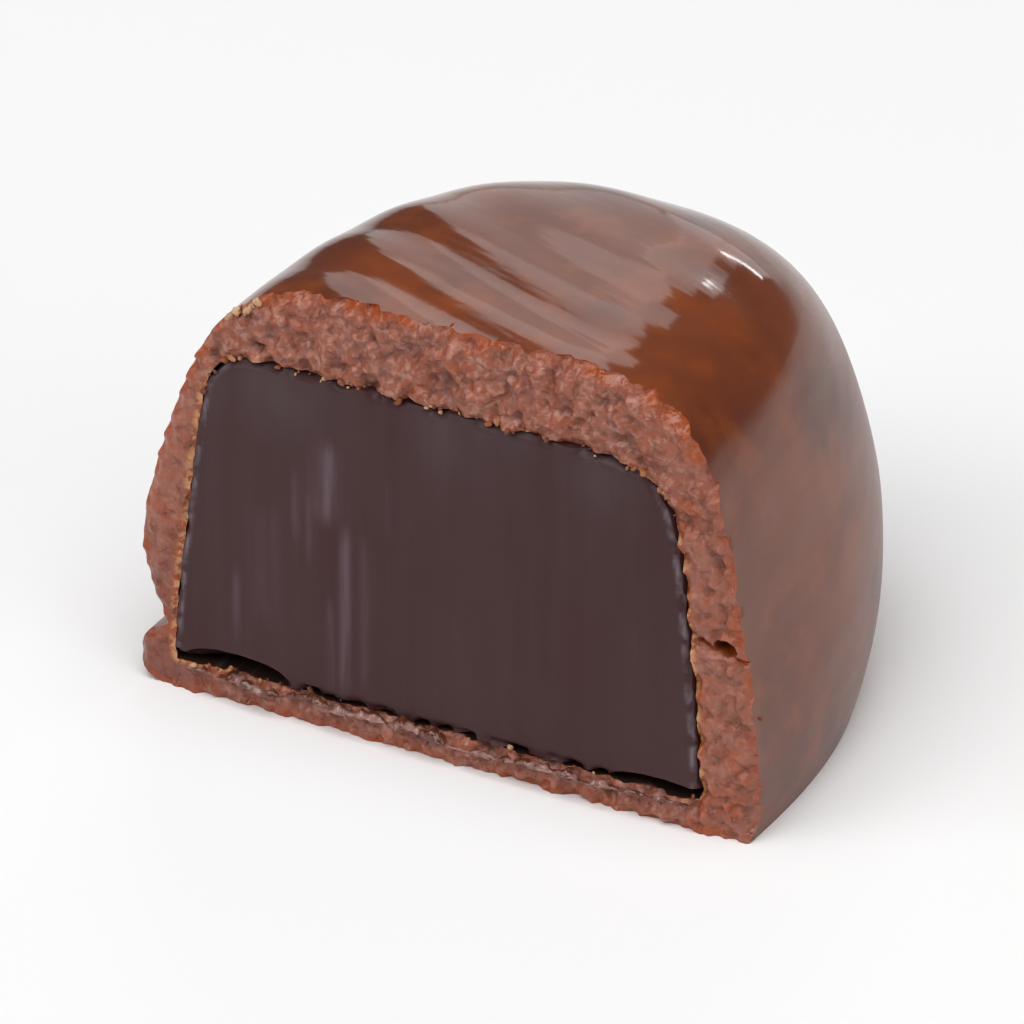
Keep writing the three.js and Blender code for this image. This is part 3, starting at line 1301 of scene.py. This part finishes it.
@dataclass(frozen=True)
class Panel:
    """A soft light: a rectangular panel that faces a point, turned about its own middle by roll."""

    name: str
    azimuth: float
    elevation: float
    distance: float
    width: float
    height: float
    strength: float
    roll: float = 0.0

    def build(self, aim: Vector) -> None:
        """Puts the panel into the scene.

        Args:
            aim: The point it faces.
        """
        data = bpy.data.lights.new(self.name, "AREA")
        data.shape = "RECTANGLE"
        data.size, data.size_y = self.width, self.height
        data.energy = self.strength * self.width * self.height * math.pi
        lamp = bpy.data.objects.new(self.name, data)
        lamp.location = aim + direction(self.azimuth, self.elevation) * self.distance
        lamp.rotation_mode = "QUATERNION"
        facing = direction(self.azimuth, self.elevation).to_track_quat("Z", "Y")
        lamp.rotation_quaternion = facing @ Quaternion((0.0, 0.0, 1.0), math.radians(self.roll))
        lamp.visible_camera = False
        bpy.context.scene.collection.objects.link(lamp)


def direction(azimuth: float, elevation: float) -> Vector:
    """Returns the unit vector towards an azimuth, 0 in front of the cut, and an elevation."""
    turn, lift = math.radians(azimuth), math.radians(elevation)
    level = math.cos(lift)
    return Vector((math.sin(turn) * level, -math.cos(turn) * level, math.sin(lift)))


@dataclass(frozen=True)
class Studio:
    """The pale floor, the lights and the camera."""

    azimuth: float = 28.9
    elevation: float = 29.6
    distance: float = 0.646
    framed_width: float = 35.2
    sensor: float = 36.0
    aside: float = 2.15
    above: float = 8.76
    world: float = 0.08
    floor_reach: float = 1.5
    panels: tuple[Panel, ...] = (
        Panel("back_high", 208.3, 32.5, 1.2, 0.19, 0.275, 1.5),
        Panel("back_low", 208.3, 13.0, 1.2, 0.217, 0.554, 0.85),
        Panel("back_side_a", 200.0, 15.5, 1.2, 0.122, 0.66, 1.05),
        Panel("back_side_b", 194.0, 12.0, 1.2, 0.123, 0.51, 1.05),
        Panel("back_side_c", 188.0, 7.0, 1.2, 0.125, 0.295, 1.05),
        Panel("glint", 189.5, 13.5, 1.15, 0.03, 0.3, 11.0, roll=-54.0),
        Panel("top_box", 20.0, 72.0, 0.9, 1.0, 1.0, 2.95),
        Panel("left_fill", -40.0, 30.0, 0.9, 0.6, 0.6, 2.1),
        Panel("right_fill", 80.0, 25.0, 0.9, 0.6, 0.5, 1.25),
    )

    def build(self, seat: Vector) -> None:
        """Makes the stage.

        Args:
            seat: The candy's own origin in the model's frame.
        """
        bpy.context.scene.view_settings.view_transform = "Standard"
        world = bpy.data.worlds.new("studio")
        world.use_nodes = True
        world.node_tree.nodes["Background"].inputs["Color"].default_value = (*(self.world,) * 3, 1.0)
        bpy.context.scene.world = world
        floor = bmesh.new()
        bmesh.ops.create_grid(floor, x_segments=8, y_segments=8, size=self.floor_reach)
        to_object("floor", floor, PaleFloor().material())
        back = direction(self.azimuth, self.elevation)
        right = Vector((0.0, 0.0, 1.0)).cross(back).normalized()
        rise = back.cross(right)
        aim = seat + (right * self.aside + rise * self.above) * MM
        for panel in self.panels:
            panel.build(aim)
        data = bpy.data.cameras.new("camera")
        data.sensor_width = self.sensor
        data.lens = self.sensor * self.distance / (self.framed_width * MM)
        data.clip_start = 0.01
        camera = bpy.data.objects.new("camera", data)
        camera.location = aim + back * self.distance
        camera.rotation_mode = "QUATERNION"
        camera.rotation_quaternion = back.to_track_quat("Z", "Y")
        bpy.context.scene.collection.objects.link(camera)
        bpy.context.scene.camera = camera


def main() -> None:
    """Builds the candy and its stage."""
    logging.basicConfig(level=logging.INFO, format="%(name)s: %(message)s")
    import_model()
    candy = HalvedCandy()
    candy.build()
    Studio().build(candy.seat)


if __name__ == "__main__":
    main()
